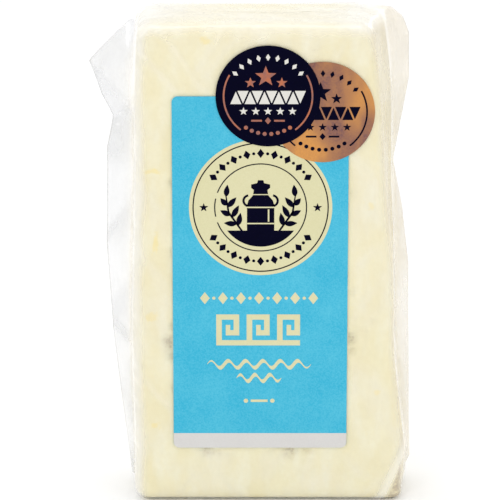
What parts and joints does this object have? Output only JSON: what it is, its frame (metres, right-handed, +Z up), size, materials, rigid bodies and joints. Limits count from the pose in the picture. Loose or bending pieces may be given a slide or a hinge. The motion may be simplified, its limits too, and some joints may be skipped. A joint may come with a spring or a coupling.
{
  "type": "vacuum-sealed feta block",
  "caption": "Upright block of feta sealed in clear film, with pinched side seams, a blue front label and two round overlapping stickers.",
  "frame": {"origin": "middle of the block's flat foot, half way across it and half way through its depth", "axes": "+Z up along the block's height, -Y out of the face with the label, +X to the right as that face is seen"},
  "size_m": [0.0863, 0.0269, 0.134],
  "materials": {
    "film_and_cheese": "clear glossy film drawn tight over pale cream cheese",
    "label_paper": "satin coated paper, light blue with a pale grey foot",
    "bronze_foil": "satin bronze foil paper",
    "navy_paper": "satin navy paper with copper and cream print"
  },
  "bodies": {
    "root": {"pouch": "film_and_cheese", "front_label": "label_paper", "bronze_sticker": "bronze_foil", "navy_sticker": "navy_paper"}
  },
  "joints": []
}
